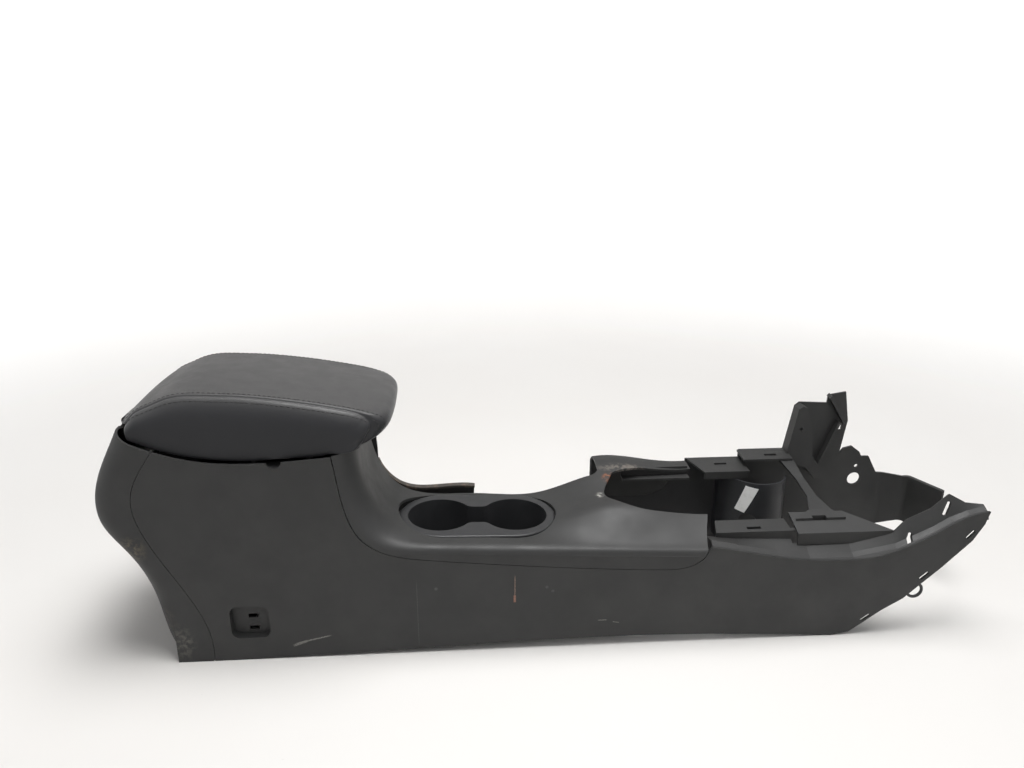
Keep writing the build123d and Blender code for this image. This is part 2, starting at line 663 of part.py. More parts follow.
# Latch: sprung paddle under the lid's front lip, its pin and spring, and its striker on the bin
bar_r = 1.4
bar_x = latch_x - 11
bar_z = flange_top + 9.5
with BuildPart() as latch_paddle:
    with BuildSketch(Plane.XZ.offset(-latch_half_y)):
        with Locations((latch_x, latch_z)):
            Circle(3.6)
        Polygon((latch_x, latch_z + 1), (latch_x + 25, latch_z + 1), (latch_x + 26, latch_z - 2), (latch_x, latch_z - 2), align=None)
    extrude(amount=2 * latch_half_y)
    with BuildSketch(Plane.XZ.offset(-8)):
        Polygon((latch_x - 3.6, latch_z), (latch_x - 0.6, latch_z), (latch_x - 0.6, bar_z - 5), (bar_x + bar_r + seat, bar_z - 4),
                (bar_x + bar_r + seat, bar_z - 3), (latch_x - 3.6, bar_z - 1), align=None)
    extrude(amount=16)
    add(latch_bore, mode=Mode.SUBTRACT)
finish(latch_paddle.part, "latch_paddle")
finish(across(latch_x, latch_z, latch_pin_r, -28, 28), "latch_pin")

striker_bar = across(bar_x, bar_z, bar_r, -13.5, 13.5)
with BuildPart() as latch_striker:
    with BuildSketch(Plane.XY.offset(flange_top)):
        with Locations((bar_x - 3, 0)):
            RectangleRounded(12, 34, 2)
    extrude(amount=1.5)
    for y in (-13, 13):
        with BuildSketch(Plane.XZ.offset(-y - 1)):
            with Locations((bar_x, flange_top + 6)):
                RectangleRounded(6, 12, 2)
        extrude(amount=2)
    add(striker_bar)
finish(latch_striker.part, "latch_striker")


def coil_sleeve(x, z, inner, wire, y_low, y_high):
    """Close-wound torsion spring as a sleeve with one round bead for each turn."""
    turns = int((y_high - y_low) / wire)
    with BuildPart() as spring:
        with BuildSketch(Plane.YZ.offset(x)):
            with Locations(((y_low + y_high) / 2, z + inner + wire / 4)):
                Rectangle(y_high - y_low, wire / 2)
            for turn in range(turns):
                with Locations((y_low + (turn + 0.5) * wire, z + inner + wire / 2)):
                    Circle(wire / 2)
        revolve(axis=Axis((x, 0, z), (0, 1, 0)))
    return spring.part


finish(coil_sleeve(hinge_x, hinge_z, pin_r + seat, 1.6, -25.6, 25.6), "hinge_spring")
finish(coil_sleeve(latch_x, latch_z, latch_pin_r + seat, 1.0, 20.5, 24.5), "latch_spring")


def screws(places, top_z, length):
    """Pan-head screws that stand upright, as one group."""
    with BuildPart() as group:
        for x, y in places:
            with BuildSketch(Plane.XY.offset(top_z)):
                with Locations((x, y)):
                    Circle(screw_head_r)
            extrude(amount=2.4)
            with BuildSketch(Plane.XY.offset(top_z)):
                with Locations((x, y)):
                    Circle(screw_r)
            extrude(amount=-length)
        fillet(group.faces().sort_by(Axis.Z)[-len(places):].edges(), radius=1.2)
    return group.part


finish(screws(bin_screw_places, flange_top, 9), "bin_screws")
finish(screws(bracket_screw_places, flange_top + bracket_t, 9), "bracket_screws")

# Rubber bumpers under the inner panel, which rest on the bin's flange
with BuildPart() as lid_bumpers:
    for x, z in (seam_outline[3], seam_outline[4]):
        for y in (-bin_half_y - 2, bin_half_y + 2):
            with BuildSketch(Plane.XY.offset(flange_top + 0.1)):
                with Locations((x, y)):
                    Circle(3.5)
            extrude(amount=z + lid_gap - 0.4 - flange_top - 0.1)
finish(lid_bumpers.part, "lid_bumpers")

# Worn edge trim on the far side of the handbrake slot
finish(trim_strip(trim_t, half_width - 9, half_width), "brake_slot_trim")

# Curved duct panel inside the shifter well, with a blank paper label on it
duct_t = 2.5
duct_top_z = 140.0
duct_line = Spline((234, inner_y - duct_t), (243, 56), (268, 34), (298, 36), (314, 54))
with BuildPart() as air_duct:
    with BuildSketch(Plane.XY.offset(42)):
        add(duct_line)
        trace(line_width=duct_t)
    extrude(amount=duct_top_z - 42)
    with BuildSketch(Plane.XZ.offset(-60)):
        with Locations((262, 86)):
            Circle(10)
    extrude(amount=60, mode=Mode.SUBTRACT)
finish(air_duct.part, "air_duct")

with BuildPart() as label_layer:
    with BuildSketch(Plane.XY.offset(60)):
        add(duct_line)
        trace(line_width=duct_t + 0.8)
        add(duct_line)
        trace(line_width=duct_t + 0.1, mode=Mode.SUBTRACT)
    extrude(amount=80)
    with BuildSketch(Plane.XZ.offset(-80)):
        Polygon((256, 135.5), (271, 133.5), (257, 96.5), (247, 98.5), align=None)
    extrude(amount=80, mode=Mode.INTERSECT)
finish(label_layer.part.solids().sort_by(Axis.Y)[0], "blank_label")

# Loop of wire tie at the near front edge
with BuildPart() as tie_loop:
    with BuildSketch(Plane.XZ):
        with Locations((9, 0)):
            Circle(1.8)
    revolve(axis=Axis.Z)
finish(Pos(424, -inner_y + 1.9, 56) * Rot(90, 0, 0) * tie_loop.part, "tie_loop")
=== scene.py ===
import math

import bmesh
import bpy
from mathutils import Matrix, Vector
from mathutils.bvhtree import BVHTree


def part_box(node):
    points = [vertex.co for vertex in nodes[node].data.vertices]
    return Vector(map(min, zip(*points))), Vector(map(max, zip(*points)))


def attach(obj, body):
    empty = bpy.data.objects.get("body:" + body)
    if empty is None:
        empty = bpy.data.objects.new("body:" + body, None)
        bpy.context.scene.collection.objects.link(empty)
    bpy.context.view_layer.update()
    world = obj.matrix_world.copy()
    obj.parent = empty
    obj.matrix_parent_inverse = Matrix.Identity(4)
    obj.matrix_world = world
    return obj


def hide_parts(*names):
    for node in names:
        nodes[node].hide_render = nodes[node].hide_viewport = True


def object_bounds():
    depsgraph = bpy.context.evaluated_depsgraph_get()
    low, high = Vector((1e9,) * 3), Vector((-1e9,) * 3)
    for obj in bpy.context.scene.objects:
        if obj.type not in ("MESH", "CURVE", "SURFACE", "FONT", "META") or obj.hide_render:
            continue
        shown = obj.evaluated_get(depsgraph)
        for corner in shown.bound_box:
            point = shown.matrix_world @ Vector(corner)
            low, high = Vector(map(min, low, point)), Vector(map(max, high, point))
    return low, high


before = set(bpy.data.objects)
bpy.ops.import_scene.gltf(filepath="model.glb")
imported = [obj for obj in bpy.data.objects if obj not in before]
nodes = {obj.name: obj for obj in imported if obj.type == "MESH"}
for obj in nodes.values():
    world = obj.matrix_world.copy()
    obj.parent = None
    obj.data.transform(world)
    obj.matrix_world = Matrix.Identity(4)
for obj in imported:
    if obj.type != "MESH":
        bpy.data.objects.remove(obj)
cadLow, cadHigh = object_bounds()
print("frame loaded", len(nodes), "nodes")


# small helpers for node trees: each takes the material, or the world, that owns the tree

def startMaterial(name, color, roughness):
    mat = bpy.data.materials.new(name)
    mat.use_nodes = True
    shader = mat.node_tree.nodes["Principled BSDF"]
    shader.inputs["Base Color"].default_value = (*color, 1)
    shader.inputs["Roughness"].default_value = roughness
    return mat, shader


def addNode(mat, kind, **settings):
    node = mat.node_tree.nodes.new(kind)
    for key, value in settings.items():
        setattr(node, key, value)
    return node


def join(mat, output, target):
    mat.node_tree.links.new(output, target)


def objectPlace(mat, location=(0, 0, 0), rotation=(0, 0, 0), scale=(1, 1, 1)):
    # object coordinates, moved so that location becomes the middle
    coords = addNode(mat, "ShaderNodeTexCoord")
    mapping = addNode(mat, "ShaderNodeMapping", vector_type="TEXTURE")
    mapping.inputs["Location"].default_value = location
    mapping.inputs["Rotation"].default_value = rotation
    mapping.inputs["Scale"].default_value = scale
    join(mat, coords.outputs["Object"], mapping.inputs["Vector"])
    return mapping.outputs["Vector"]


def noise(mat, vector, scale, detail=4, roughness=0.55, distortion=0):
    node = addNode(mat, "ShaderNodeTexNoise")
    node.inputs["Scale"].default_value = scale
    node.inputs["Detail"].default_value = detail
    node.inputs["Roughness"].default_value = roughness
    node.inputs["Distortion"].default_value = distortion
    join(mat, vector, node.inputs["Vector"])
    return node.outputs["Fac"]


def cells(mat, vector, scale, feature="F1"):
    node = addNode(mat, "ShaderNodeTexVoronoi", feature=feature)
    node.inputs["Scale"].default_value = scale
    join(mat, vector, node.inputs["Vector"])
    return node.outputs["Distance"]


def remap(mat, value, low, high, toLow=0.0, toHigh=1.0):
    node = addNode(mat, "ShaderNodeMapRange", interpolation_type="SMOOTHSTEP")
    node.inputs["From Min"].default_value = low
    node.inputs["From Max"].default_value = high
    node.inputs["To Min"].default_value = toLow
    node.inputs["To Max"].default_value = toHigh
    join(mat, value, node.inputs["Value"])
    return node.outputs["Result"]


def calc(mat, operation, first, second=0):
    node = addNode(mat, "ShaderNodeMath", operation=operation)
    for socket, value in zip(node.inputs, (first, second)):
        if isinstance(value, (int, float)):
            socket.default_value = value
        else:
            join(mat, value, socket)
    return node.outputs["Value"]


def blendColor(mat, factor, under, over):
    node = addNode(mat, "ShaderNodeMix", data_type="RGBA")
    join(mat, factor, node.inputs["Factor"])
    for socket, value in ((node.inputs[6], under), (node.inputs[7], over)):
        if isinstance(value, tuple):
            socket.default_value = (*value, 1)
        else:
            join(mat, value, socket)
    return node.outputs[2]


def addBump(mat, shader, height, strength, depth, before=None):
    node = addNode(mat, "ShaderNodeBump")
    node.inputs["Strength"].default_value = strength
    node.inputs["Distance"].default_value = depth
    join(mat, height, node.inputs["Height"])
    if before:
        join(mat, before, node.inputs["Normal"])
    join(mat, node.outputs["Normal"], shader.inputs["Normal"])
    return node.outputs["Normal"]


def vectorLength(mat, vector):
    node = addNode(mat, "ShaderNodeVectorMath", operation="LENGTH")
    join(mat, vector, node.inputs[0])
    return node.outputs["Value"]


def splitVector(mat, vector):
    node = addNode(mat, "ShaderNodeSeparateXYZ")
    join(mat, vector, node.inputs["Vector"])
    return node.outputs


def patchyRoughness(mat, shader, place, scale, detail, low, high):
    # the middle of the noise carries the whole range of roughness
    patches = remap(mat, noise(mat, place, scale, detail), 0.3, 0.7, low, high)
    join(mat, patches, shader.inputs["Roughness"])


# where a stroke starts to fade and ends: shares of its length and width, and metres into the wall
stroke = {
    "length": (0.32, 0.5),
    "width": (0.25, 0.5),
    "depth": (0.004, 0.008),
    "broken": (0.32, 0.55),
    "grain": 900,
}


def strokeMask(mat, middle, length, width, turn):
    # a soft stroke drawn on a side wall: length along x, width along z, both before the turn about y
    place = objectPlace(mat, location=middle, rotation=(0, turn, 0))
    split = splitVector(mat, place)
    limits = {
        "X": [length * share for share in stroke["length"]],
        "Z": [width * share for share in stroke["width"]],
        "Y": stroke["depth"],
    }
    mask = remap(mat, noise(mat, place, stroke["grain"], 3), *stroke["broken"])
    for axis, (full, gone) in limits.items():
        fade = remap(mat, calc(mat, "ABSOLUTE", split[axis]), full, gone, 1, 0)
        mask = calc(mat, "MULTIPLY", mask, fade)
    return mask


def blotchMask(mat, middle, radii, grain, low, high):
    # a round patch, broken up by a noise of the given scale
    place = objectPlace(mat, location=middle, scale=radii)
    fall = remap(mat, vectorLength(mat, place), 0.25, 1.0, 1, 0)
    speckle = remap(mat, noise(mat, objectPlace(mat), grain, 5, 0.65), low, high)
    return calc(mat, "MULTIPLY", fall, speckle)


# moulded trim plastic: fine grain, faint dust, light scuffs

plastic = {
    "color": (0.0175, 0.0175, 0.0173),
    "dusty": (0.062, 0.060, 0.056),
    "roughness": (0.5, 0.62),
    "patchScale": 24,
    "dustScale": 9,
    "dustRange": (0.45, 0.78),
    "dustMost": 0.15,
    "scuffScale": 70,
    "scuffStretch": (1, 1, 0.25),
    "scuffRange": (0.66, 0.74),
    "scuffMost": 0.12,
    "grainScale": 1500,
    "pebbleScale": 1170,
    "grainStrength": 0.35,
    "grainDepth": 0.00012,
    "speckDepth": 0.01,
    "speckGrain": (700, 0.3, 0.5),
}

# marks on the near wall: middle, length, width, turn, colour
wallY = cadLow.y
wallMarks = [
    ((-0.0545, wallY, 0.0815), 0.038, 0.0017, math.pi / 2, (0.19, 0.13, 0.10)),
    ((-0.0548, wallY, 0.068), 0.011, 0.0034, math.pi / 2, (0.27, 0.125, 0.085)),
    ((-0.1660, wallY, 0.053), 0.098, 0.0010, math.pi / 2, (0.050, 0.050, 0.050)),
    ((-0.2860, wallY, 0.024), 0.046, 0.0022, -0.22, (0.20, 0.195, 0.18)),
    ((-0.3010, wallY, 0.0195), 0.020, 0.0040, -0.35, (0.17, 0.165, 0.15)),
    ((0.0480, wallY, 0.0345), 0.012, 0.0016, 0.0, (0.16, 0.155, 0.14)),
    ((0.0640, wallY, 0.0310), 0.009, 0.0014, 0.2, (0.15, 0.145, 0.13)),
]
# specks on the near wall: middle, radius, colour
wallSpecks = [
    ((-0.1443, wallY, 0.0849), 0.0028, (0.060, 0.060, 0.060)),
    ((-0.1694, wallY, 0.1300), 0.0048, (0.20, 0.20, 0.19)),
    ((-0.0178, wallY, 0.0820), 0.0026, (0.050, 0.050, 0.052)),
    ((-0.0108, wallY, 0.0764), 0.0026, (0.050, 0.050, 0.052)),
]
# blotches on the cover and the deck, and painted shade on the inside of the far wall: middle, radii, colour
rearDirt = [
    ((-0.4700, -0.085, 0.148), (0.020, 0.030, 0.022), (0.090, 0.074, 0.052)),
    ((-0.4640, -0.080, 0.085), (0.016, 0.030, 0.040), (0.050, 0.048, 0.044)),
    ((-0.4330, -0.090, 0.026), (0.020, 0.030, 0.030), (0.075, 0.071, 0.062)),
    ((-0.4450, -0.085, 0.055), (0.012, 0.030, 0.018), (0.070, 0.056, 0.046)),
]
rimWear = [
    ((0.0740, 0.030, 0.155), (0.012, 0.014, 0.014), (0.30, 0.10, 0.035)),
    ((0.0560, -0.006, 0.150), (0.007, 0.009, 0.010), (0.36, 0.35, 0.32)),
    ((0.1000, 0.052, 0.160), (0.050, 0.014, 0.012), (0.13, 0.115, 0.10)),
]
# painted shade: the inside of the far wall is darkened where little light reaches it
insideShade = [
    ((0.1300, 0.092, 0.080), (0.280, 0.030, 0.090), (0.0045, 0.0045, 0.0060)),
]
# how a blotch is broken up: scale of the noise, where it starts and ends
brokenGrain = (160, 0.42, 0.62)
evenGrain = (4, 0.0, 0.1)


def makePlastic(name, marks=(), specks=(), dirtAndShade=(), dirtAndShadeGrain=brokenGrain):
    mat, shader = startMaterial(name, plastic["color"], 0.55)
    place = objectPlace(mat)
    dust = noise(mat, place, plastic["dustScale"], 6, 0.6)
    dust = remap(mat, dust, *plastic["dustRange"], 0, plastic["dustMost"])
    color = blendColor(mat, dust, plastic["color"], plastic["dusty"])
    scuffs = noise(mat, objectPlace(mat, scale=plastic["scuffStretch"]), plastic["scuffScale"], 8, 0.75)
    scuffs = remap(mat, scuffs, *plastic["scuffRange"], 0, plastic["scuffMost"])
    color = blendColor(mat, scuffs, color, plastic["dusty"])
    for middle, length, width, turn, tone in marks:
        color = blendColor(mat, strokeMask(mat, middle, length, width, turn), color, tone)
    for middle, size, tone in specks:
        speck = blotchMask(mat, middle, (size, plastic["speckDepth"], size), *plastic["speckGrain"])
        color = blendColor(mat, speck, color, tone)
    # blotches of dirt and wear, and on the trim the painted shade inside the far wall
    for middle, radii, tone in dirtAndShade:
        color = blendColor(mat, blotchMask(mat, middle, radii, *dirtAndShadeGrain), color, tone)
    join(mat, color, shader.inputs["Base Color"])
    patchyRoughness(mat, shader, place, plastic["patchScale"], 5, *plastic["roughness"])
    pebbles = cells(mat, place, plastic["pebbleScale"])
    grain = calc(mat, "ADD", pebbles, noise(mat, place, plastic["grainScale"], 3))
    addBump(mat, shader, grain, plastic["grainStrength"], plastic["grainDepth"])
    return mat


# the trim gets painted shade on the inside of the far wall
trimPlastic = makePlastic("trimPlastic", wallMarks, wallSpecks, insideShade, evenGrain)
coverPlastic = makePlastic("coverPlastic", dirtAndShade=rearDirt)
deckPlastic = makePlastic("deckPlastic", dirtAndShade=rimWear)


# smooth darker mouldings inside: cup holder, bin, duct

innerPlastic = {
    "lintTone": (0.09, 0.088, 0.082),
    "lintScale": 340,
    "lintRange": (0.68, 0.75),
    "lintMost": 0.35,
    "patchScale": 30,
    "grainScale": 1300,
    "grainStrength": 0.25,
}


def makeInner(name, tone, rough, grainDepth):
    mat, shader = startMaterial(name, tone, rough)
    place = objectPlace(mat)
    lint = noise(mat, place, innerPlastic["lintScale"], 3, 0.7)
    lint = remap(mat, lint, *innerPlastic["lintRange"], 0, innerPlastic["lintMost"])
    join(mat, blendColor(mat, lint, tone, innerPlastic["lintTone"]), shader.inputs["Base Color"])
    patchyRoughness(mat, shader, place, innerPlastic["patchScale"], 4, rough - 0.06, rough + 0.08)
    grain = noise(mat, place, innerPlastic["grainScale"], 3)
    addBump(mat, shader, grain, innerPlastic["grainStrength"], grainDepth)
    return mat


cupPlastic = makeInner("cupPlastic", (0.020, 0.0205, 0.022), 0.42, 0.00006)
binPlastic = makeInner("binPlastic", (0.017, 0.017, 0.018), 0.58, 0.00010)
ductPlastic = makeInner("ductPlastic", (0.015, 0.0155, 0.018), 0.50, 0.00006)


# grained leather of the lid cover: pores, creases, sheen where arms rubbed it, and painted light on the top

leather = {
    "color": (0.0085, 0.0088, 0.0110),
    # painted light: the lighter colour for the top, where the lamp above falls; the darker colour stays on the
    # flanks as painted shade
    "paintedLitTop": (0.0440, 0.0432, 0.0434),
    "worn": (0.054, 0.053, 0.052),
    "paintedLitTopFrom": (0.15, 0.9),        # upward share of the surface's direction
    "wornFrom": (0.5, 0.9),
    "wornScale": 14,
    "wornRange": (0.4, 0.75),
    "wornMost": 0.35,
    "smudge": ((-0.440, -0.045, 0.318), (0.030, 0.034, 0.020), (0.095, 0.088, 0.080)),
    "smudgeGrain": (90, 0.46, 0.74),
    "roughness": (0.36, 0.48),
    "patchScale": 45,
    "specular": 0.36,
    "sheen": 0.12,
    "sheenRoughness": 0.5,
    "poreScale": 950,
    "poreWidth": 0.16,
    "poreStrength": 0.30,
    "poreDepth": 0.00012,
    "creaseScale": 160,
    "creaseStrength": 0.22,
    "creaseDepth": 0.0005,
}


def makeLeather():
    mat, shader = startMaterial("leatherCover", leather["color"], 0.42)
    place = objectPlace(mat)
    # the top is painted lighter than the flanks by the direction the surface faces: painted light from the
    # lamp above, and painted shade on the flanks
    upward = splitVector(mat, addNode(mat, "ShaderNodeTexCoord").outputs["Normal"])["Z"]
    paintedLitTop = remap(mat, upward, *leather["paintedLitTopFrom"])
    color = blendColor(mat, paintedLitTop, leather["color"], leather["paintedLitTop"])
    worn = noise(mat, place, leather["wornScale"], 5, 0.6)
    worn = remap(mat, worn, *leather["wornRange"], 0, leather["wornMost"])
    worn = calc(mat, "MULTIPLY", worn, remap(mat, upward, *leather["wornFrom"]))
    color = blendColor(mat, worn, color, leather["worn"])
    middle, radii, tone = leather["smudge"]
    color = blendColor(mat, blotchMask(mat, middle, radii, *leather["smudgeGrain"]), color, tone)
    join(mat, color, shader.inputs["Base Color"])
    patchyRoughness(mat, shader, place, leather["patchScale"], 6, *leather["roughness"])
    shader.inputs["Specular IOR Level"].default_value = leather["specular"]
    shader.inputs["Sheen Weight"].default_value = leather["sheen"]
    shader.inputs["Sheen Roughness"].default_value = leather["sheenRoughness"]
    pores = remap(mat, cells(mat, place, leather["poreScale"], "DISTANCE_TO_EDGE"), 0, leather["poreWidth"])
    pitted = addBump(mat, shader, pores, leather["poreStrength"], leather["poreDepth"])
    creases = noise(mat, place, leather["creaseScale"], 7, 0.6, 0.6)
    addBump(mat, shader, creases, leather["creaseStrength"], leather["creaseDepth"], pitted)
    return mat


leatherCover = makeLeather()


# metals, rubber, paper, nylon and thread

metal = {
    "dullTone": (0.30, 0.28, 0.24),
    "dullScale": 260,
    "dullRange": (0.45, 0.7),
    "dullMost": 0.5,
    "patchScale": 420,
    "brushScale": 900,
    "brushStretch": (1, 8, 1),
    "brushStrength": 0.15,
    "brushDepth": 0.00004,
}


def makeMetal(name, tone, rough):
    mat, shader = startMaterial(name, tone, rough)
    shader.inputs["Metallic"].default_value = 1.0
    place = objectPlace(mat)
    dull = remap(mat, noise(mat, place, metal["dullScale"], 5), *metal["dullRange"], 0, metal["dullMost"])
    join(mat, blendColor(mat, dull, tone, metal["dullTone"]), shader.inputs["Base Color"])
    patchyRoughness(mat, shader, place, metal["patchScale"], 4, rough - 0.08, rough + 0.12)
    brushed = noise(mat, objectPlace(mat, scale=metal["brushStretch"]), metal["brushScale"], 3)
    addBump(mat, shader, brushed, metal["brushStrength"], metal["brushDepth"])
    return mat


plain = {"spotRange": (0.48, 0.7), "spotMost": 0.7, "bumpStrength": 0.3}


def makePlain(name, tone, rough, spotTone, spotScale, bumpScale, bumpDepth):
    mat, shader = startMaterial(name, tone, rough)
    place = objectPlace(mat)
    spots = remap(mat, noise(mat, place, spotScale, 6, 0.65), *plain["spotRange"], 0, plain["spotMost"])
    join(mat, blendColor(mat, spots, tone, spotTone), shader.inputs["Base Color"])
    addBump(mat, shader, noise(mat, place, bumpScale, 4), plain["bumpStrength"], bumpDepth)
    return mat


zincSteel = makeMetal("zincSteel", (0.52, 0.52, 0.50), 0.35)
pinSteel = makeMetal("pinSteel", (0.42, 0.42, 0.43), 0.28)
# name, tone, roughness, tone and scale of the spots, scale and depth of the grain
threadDark = makePlain("threadDark", (0.022, 0.021, 0.021), 0.7, (0.05, 0.048, 0.045), 900, 5000, 0.00005)
softRubber = makePlain("softRubber", (0.014, 0.014, 0.014), 0.8, (0.03, 0.03, 0.029), 300, 1500, 0.00008)
trimWorn = makePlain("trimWorn", (0.040, 0.034, 0.029), 0.6, (0.17, 0.12, 0.085), 90, 900, 0.00012)
labelPaper = makePlain("labelPaper", (0.93, 0.93, 0.91), 0.75, (0.80, 0.79, 0.76), 120, 2400, 0.00002)
tieNylon = makePlain("tieNylon", (0.020, 0.020, 0.021), 0.45, (0.05, 0.05, 0.05), 400, 1600, 0.00004)

finishes = {
    "body_shell": trimPlastic, "upper_deck": deckPlastic, "rear_cover": coverPlastic,
    "cup_holder": cupPlastic, "air_duct": ductPlastic, "brake_slot_trim": trimWorn,
    "storage_bin": binPlastic, "lid_panel": binPlastic, "latch_paddle": binPlastic,
    "hinge_bracket": zincSteel, "latch_striker": zincSteel, "bin_screws": zincSteel,
    "bracket_screws": zincSteel, "hinge_pin": pinSteel, "hinge_spring": pinSteel,
    "latch_pin": pinSteel, "latch_spring": pinSteel, "lid_bumpers": softRubber,
    "blank_label": labelPaper, "tie_loop": tieNylon, "lid_pad": leatherCover,
}
for name, finish in finishes.items():
    slots = nodes[name].data.materials
    if len(slots) == 0:
        slots.append(finish)
    for number in range(len(slots)):
        slots[number] = finish
print("materials assigned")


# helpers for pieces made with bmesh

def newVerts(geom):
    return [item for item in geom if isinstance(item, bmesh.types.BMVert)]


def meshData(name, mesh):
    data = bpy.data.meshes.new(name)
    mesh.to_mesh(data)
    mesh.free()
    return data


def shadeSmooth(data):
    for face in data.polygons:
        face.use_smooth = True


def addObject(name, data):
    obj = bpy.data.objects.new(name, data)
    bpy.context.scene.collection.objects.link(obj)
    return obj


def makePiece(name, mesh, material):
    data = meshData(name, mesh)
    shadeSmooth(data)
    data.materials.append(material)
    return addObject(name, data)


def bake(obj):
    # turns the modifiers' result into the object's own mesh
    graph = bpy.context.evaluated_depsgraph_get()
    graph.update()
    data = bpy.data.meshes.new_from_object(obj.evaluated_get(graph))
    obj.modifiers.clear()
    old = obj.data
    obj.data = data
    bpy.data.meshes.remove(old)


def cutWith(obj, mesh):
    # takes a closed cutter mesh out of the piece
    data = meshData("cutter", mesh)
    cutter = addObject("cutter", data)
    bpy.context.view_layer.update()
    change = obj.modifiers.new("cut", "BOOLEAN")
    change.operation = "DIFFERENCE"
    change.solver = "MANIFOLD"
    change.object = cutter
    bake(obj)
    bpy.data.objects.remove(cutter)
    bpy.data.meshes.remove(data)


def boxMesh(low, high):
    mesh = bmesh.new()
    bmesh.ops.create_cube(mesh, size=1)
    bmesh.ops.scale(mesh, verts=mesh.verts, vec=[b - a for a, b in zip(low, high)])
    bmesh.ops.translate(mesh, verts=mesh.verts, vec=[(a + b) / 2 for a, b in zip(low, high)])
    return mesh


def layerMesh(points, half, middle=0):
    # side-view polygon pulled across the car, to both sides of the middle
    mesh = bmesh.new()
    face = mesh.faces.new([mesh.verts.new((x, -half, z)) for x, z in points])
    made = bmesh.ops.extrude_face_region(mesh, geom=[face])["geom"]
    bmesh.ops.translate(mesh, verts=newVerts(made), vec=(0, 2 * half, 0))
    bmesh.ops.translate(mesh, verts=mesh.verts, vec=(0, middle, 0))
    bmesh.ops.recalc_face_normals(mesh, faces=mesh.faces)
    return mesh


# armrest lid: one padded leather cover, drawn as side-view stations joined across

lid = {
    "creaseY": 0.0765,
    "sideY": 0.0895,
    "crown": 0.003,
    "topShare": 0.965,        # of the crease's distance, where the top's last column lies
    "stations": 46,
    "columns": 8,
    "rounding": 2,
    # groove of the seam: distances from the crease, depth, and drop of its inner and outer lip
    "grooveInner": 0.00096,
    "grooveMiddle": 0.0002,
    "grooveOuter": 0.0016,
    "grooveDepth": 0.0022,
    "grooveFloor": 0.0006,
    "innerDrop": 0.0004,
    "outerDrop": 0.0016,
    # below these heights of the side view, crown and groove, and then the swell, fade out
    "fullHeight": 0.03,
    "swellHeight": 0.010,
    # share of the flank's height from crease to lower edge, and of its swell outwards
    "flankStart": 0.0024,
    "flank": [(0.06, 0.2), (0.13, 0.48), (0.23, 0.74), (0.38, 0.93), (0.56, 1.0), (0.78, 0.98), (0.92, 0.93),
              (0.975, 0.9), (1.0, 0.85)],
    "edgeTuck": 0.0012,
    "underEdge": 0.004,
    # the corners go back by a quarter round at the nose, and forward by half of that at the heel
    "cornerRound": 0.026,
    "cornerShare": 0.7,
    "noseX": -0.225,
    "noseReach": 0.03,
    "heelX": -0.452,
    "heelReach": 0.02,
    "heelShare": 0.5,
    # side view in millimetres, x and z, from the heel to the nose
    "top": [(-473, 285.5), (-465, 292.5), (-452, 301.5), (-436, 308.5), (-419, 315.5), (-399, 318.5),
            (-369, 317.5), (-338, 315.5), (-295, 310), (-250, 302), (-212, 293.5), (-196, 288.5),
            (-190, 281), (-192, 272), (-204, 260.5), (-226, 253.5)],
    "bottom": [(-472.5, 283), (-463, 276), (-450, 268.8), (-436, 262.8), (-419, 257.2), (-399, 252.2),
               (-369, 247.8), (-338, 245.9), (-300, 247.6), (-270, 249), (-252, 250), (-242, 250.6),
               (-237, 251), (-234.5, 251.4), (-233, 251.8), (-231, 252.2)],
}


def smoothLine(points, count):
    # Catmull-Rom curve through the points, sampled at even steps of its parameter
    line = []
    last = len(points) - 1
    for sample in range(count):
        place = sample / (count - 1) * last
        index = min(int(place), last - 1)
        part = place - index
        near = [Vector(points[max(0, min(last, index + step))]) for step in (-1, 0, 1, 2)]
        before, start, end, after = near
        bend = 2 * before - 5 * start + 4 * end - after
        twist = 3 * start - before - 3 * end + after
        line.append(0.5 * (2 * start + (end - before) * part + bend * part ** 2 + twist * part ** 3))
    return line


def sideLine(name, count):
    # a line of the lid's side view in metres
    return [point / 1000 for point in smoothLine(lid[name], count)]


def lineAhead(line, index):
    # direction from the point before to the point after
    return line[min(index + 1, len(line) - 1)] - line[max(index - 1, 0)]


def clamp(value):
    return max(0.0, min(1.0, value))


def halfProfile(top, bottom, normal):
    # from the middle of the top to the underside: y, side-view point, share of the way down
    crease = lid["creaseY"]
    height = (top - bottom).length
    fade = min(1.0, height / lid["fullHeight"])
    half = []
    for column in range(lid["columns"]):
        y = crease * lid["topShare"] * math.sin(column / (lid["columns"] - 1) * math.pi / 2)
        lift = lid["crown"] * fade * math.cos(y / crease * math.pi / 2)
        half.append((y, top + normal * lift, 0))
    groove = lid["grooveDepth"] * fade + lid["grooveFloor"]
    half.append((crease - lid["grooveInner"], top - normal * lid["innerDrop"], 0))
    half.append((crease - lid["grooveMiddle"], top - normal * groove, 0))
    half.append((crease + lid["grooveOuter"], top - normal * lid["outerDrop"], 0))
    start = crease + lid["flankStart"]
    spread = (lid["sideY"] - start) * min(1.0, height / lid["swellHeight"])
    for down, swell in lid["flank"]:
        half.append((start + spread * swell, top.lerp(bottom, down), down))
    lowest = half[-1][0]
    for y in (lowest - lid["edgeTuck"], crease - lid["underEdge"], crease * 0.5):
        half.append((y, bottom, 1))
    return half


def lidRing(half, bottom, along, slope):
    # closed ring of places at one station, with its corners moved back or forward
    turn = lid["cornerRound"]
    places = []
    for y, point, down in half:
        over = clamp((y - (lid["creaseY"] - turn)) / turn)
        shift = turn * (1 - math.sqrt(1 - over ** 2)) * along * lid["cornerShare"]
        places.append(Vector((point.x - shift, -y, point.y - shift * slope * down)))
    mirrored = [Vector((place.x, -place.y, place.z)) for place in reversed(places[1:])]
    return places + [Vector((bottom.x, 0, bottom.y))] + mirrored


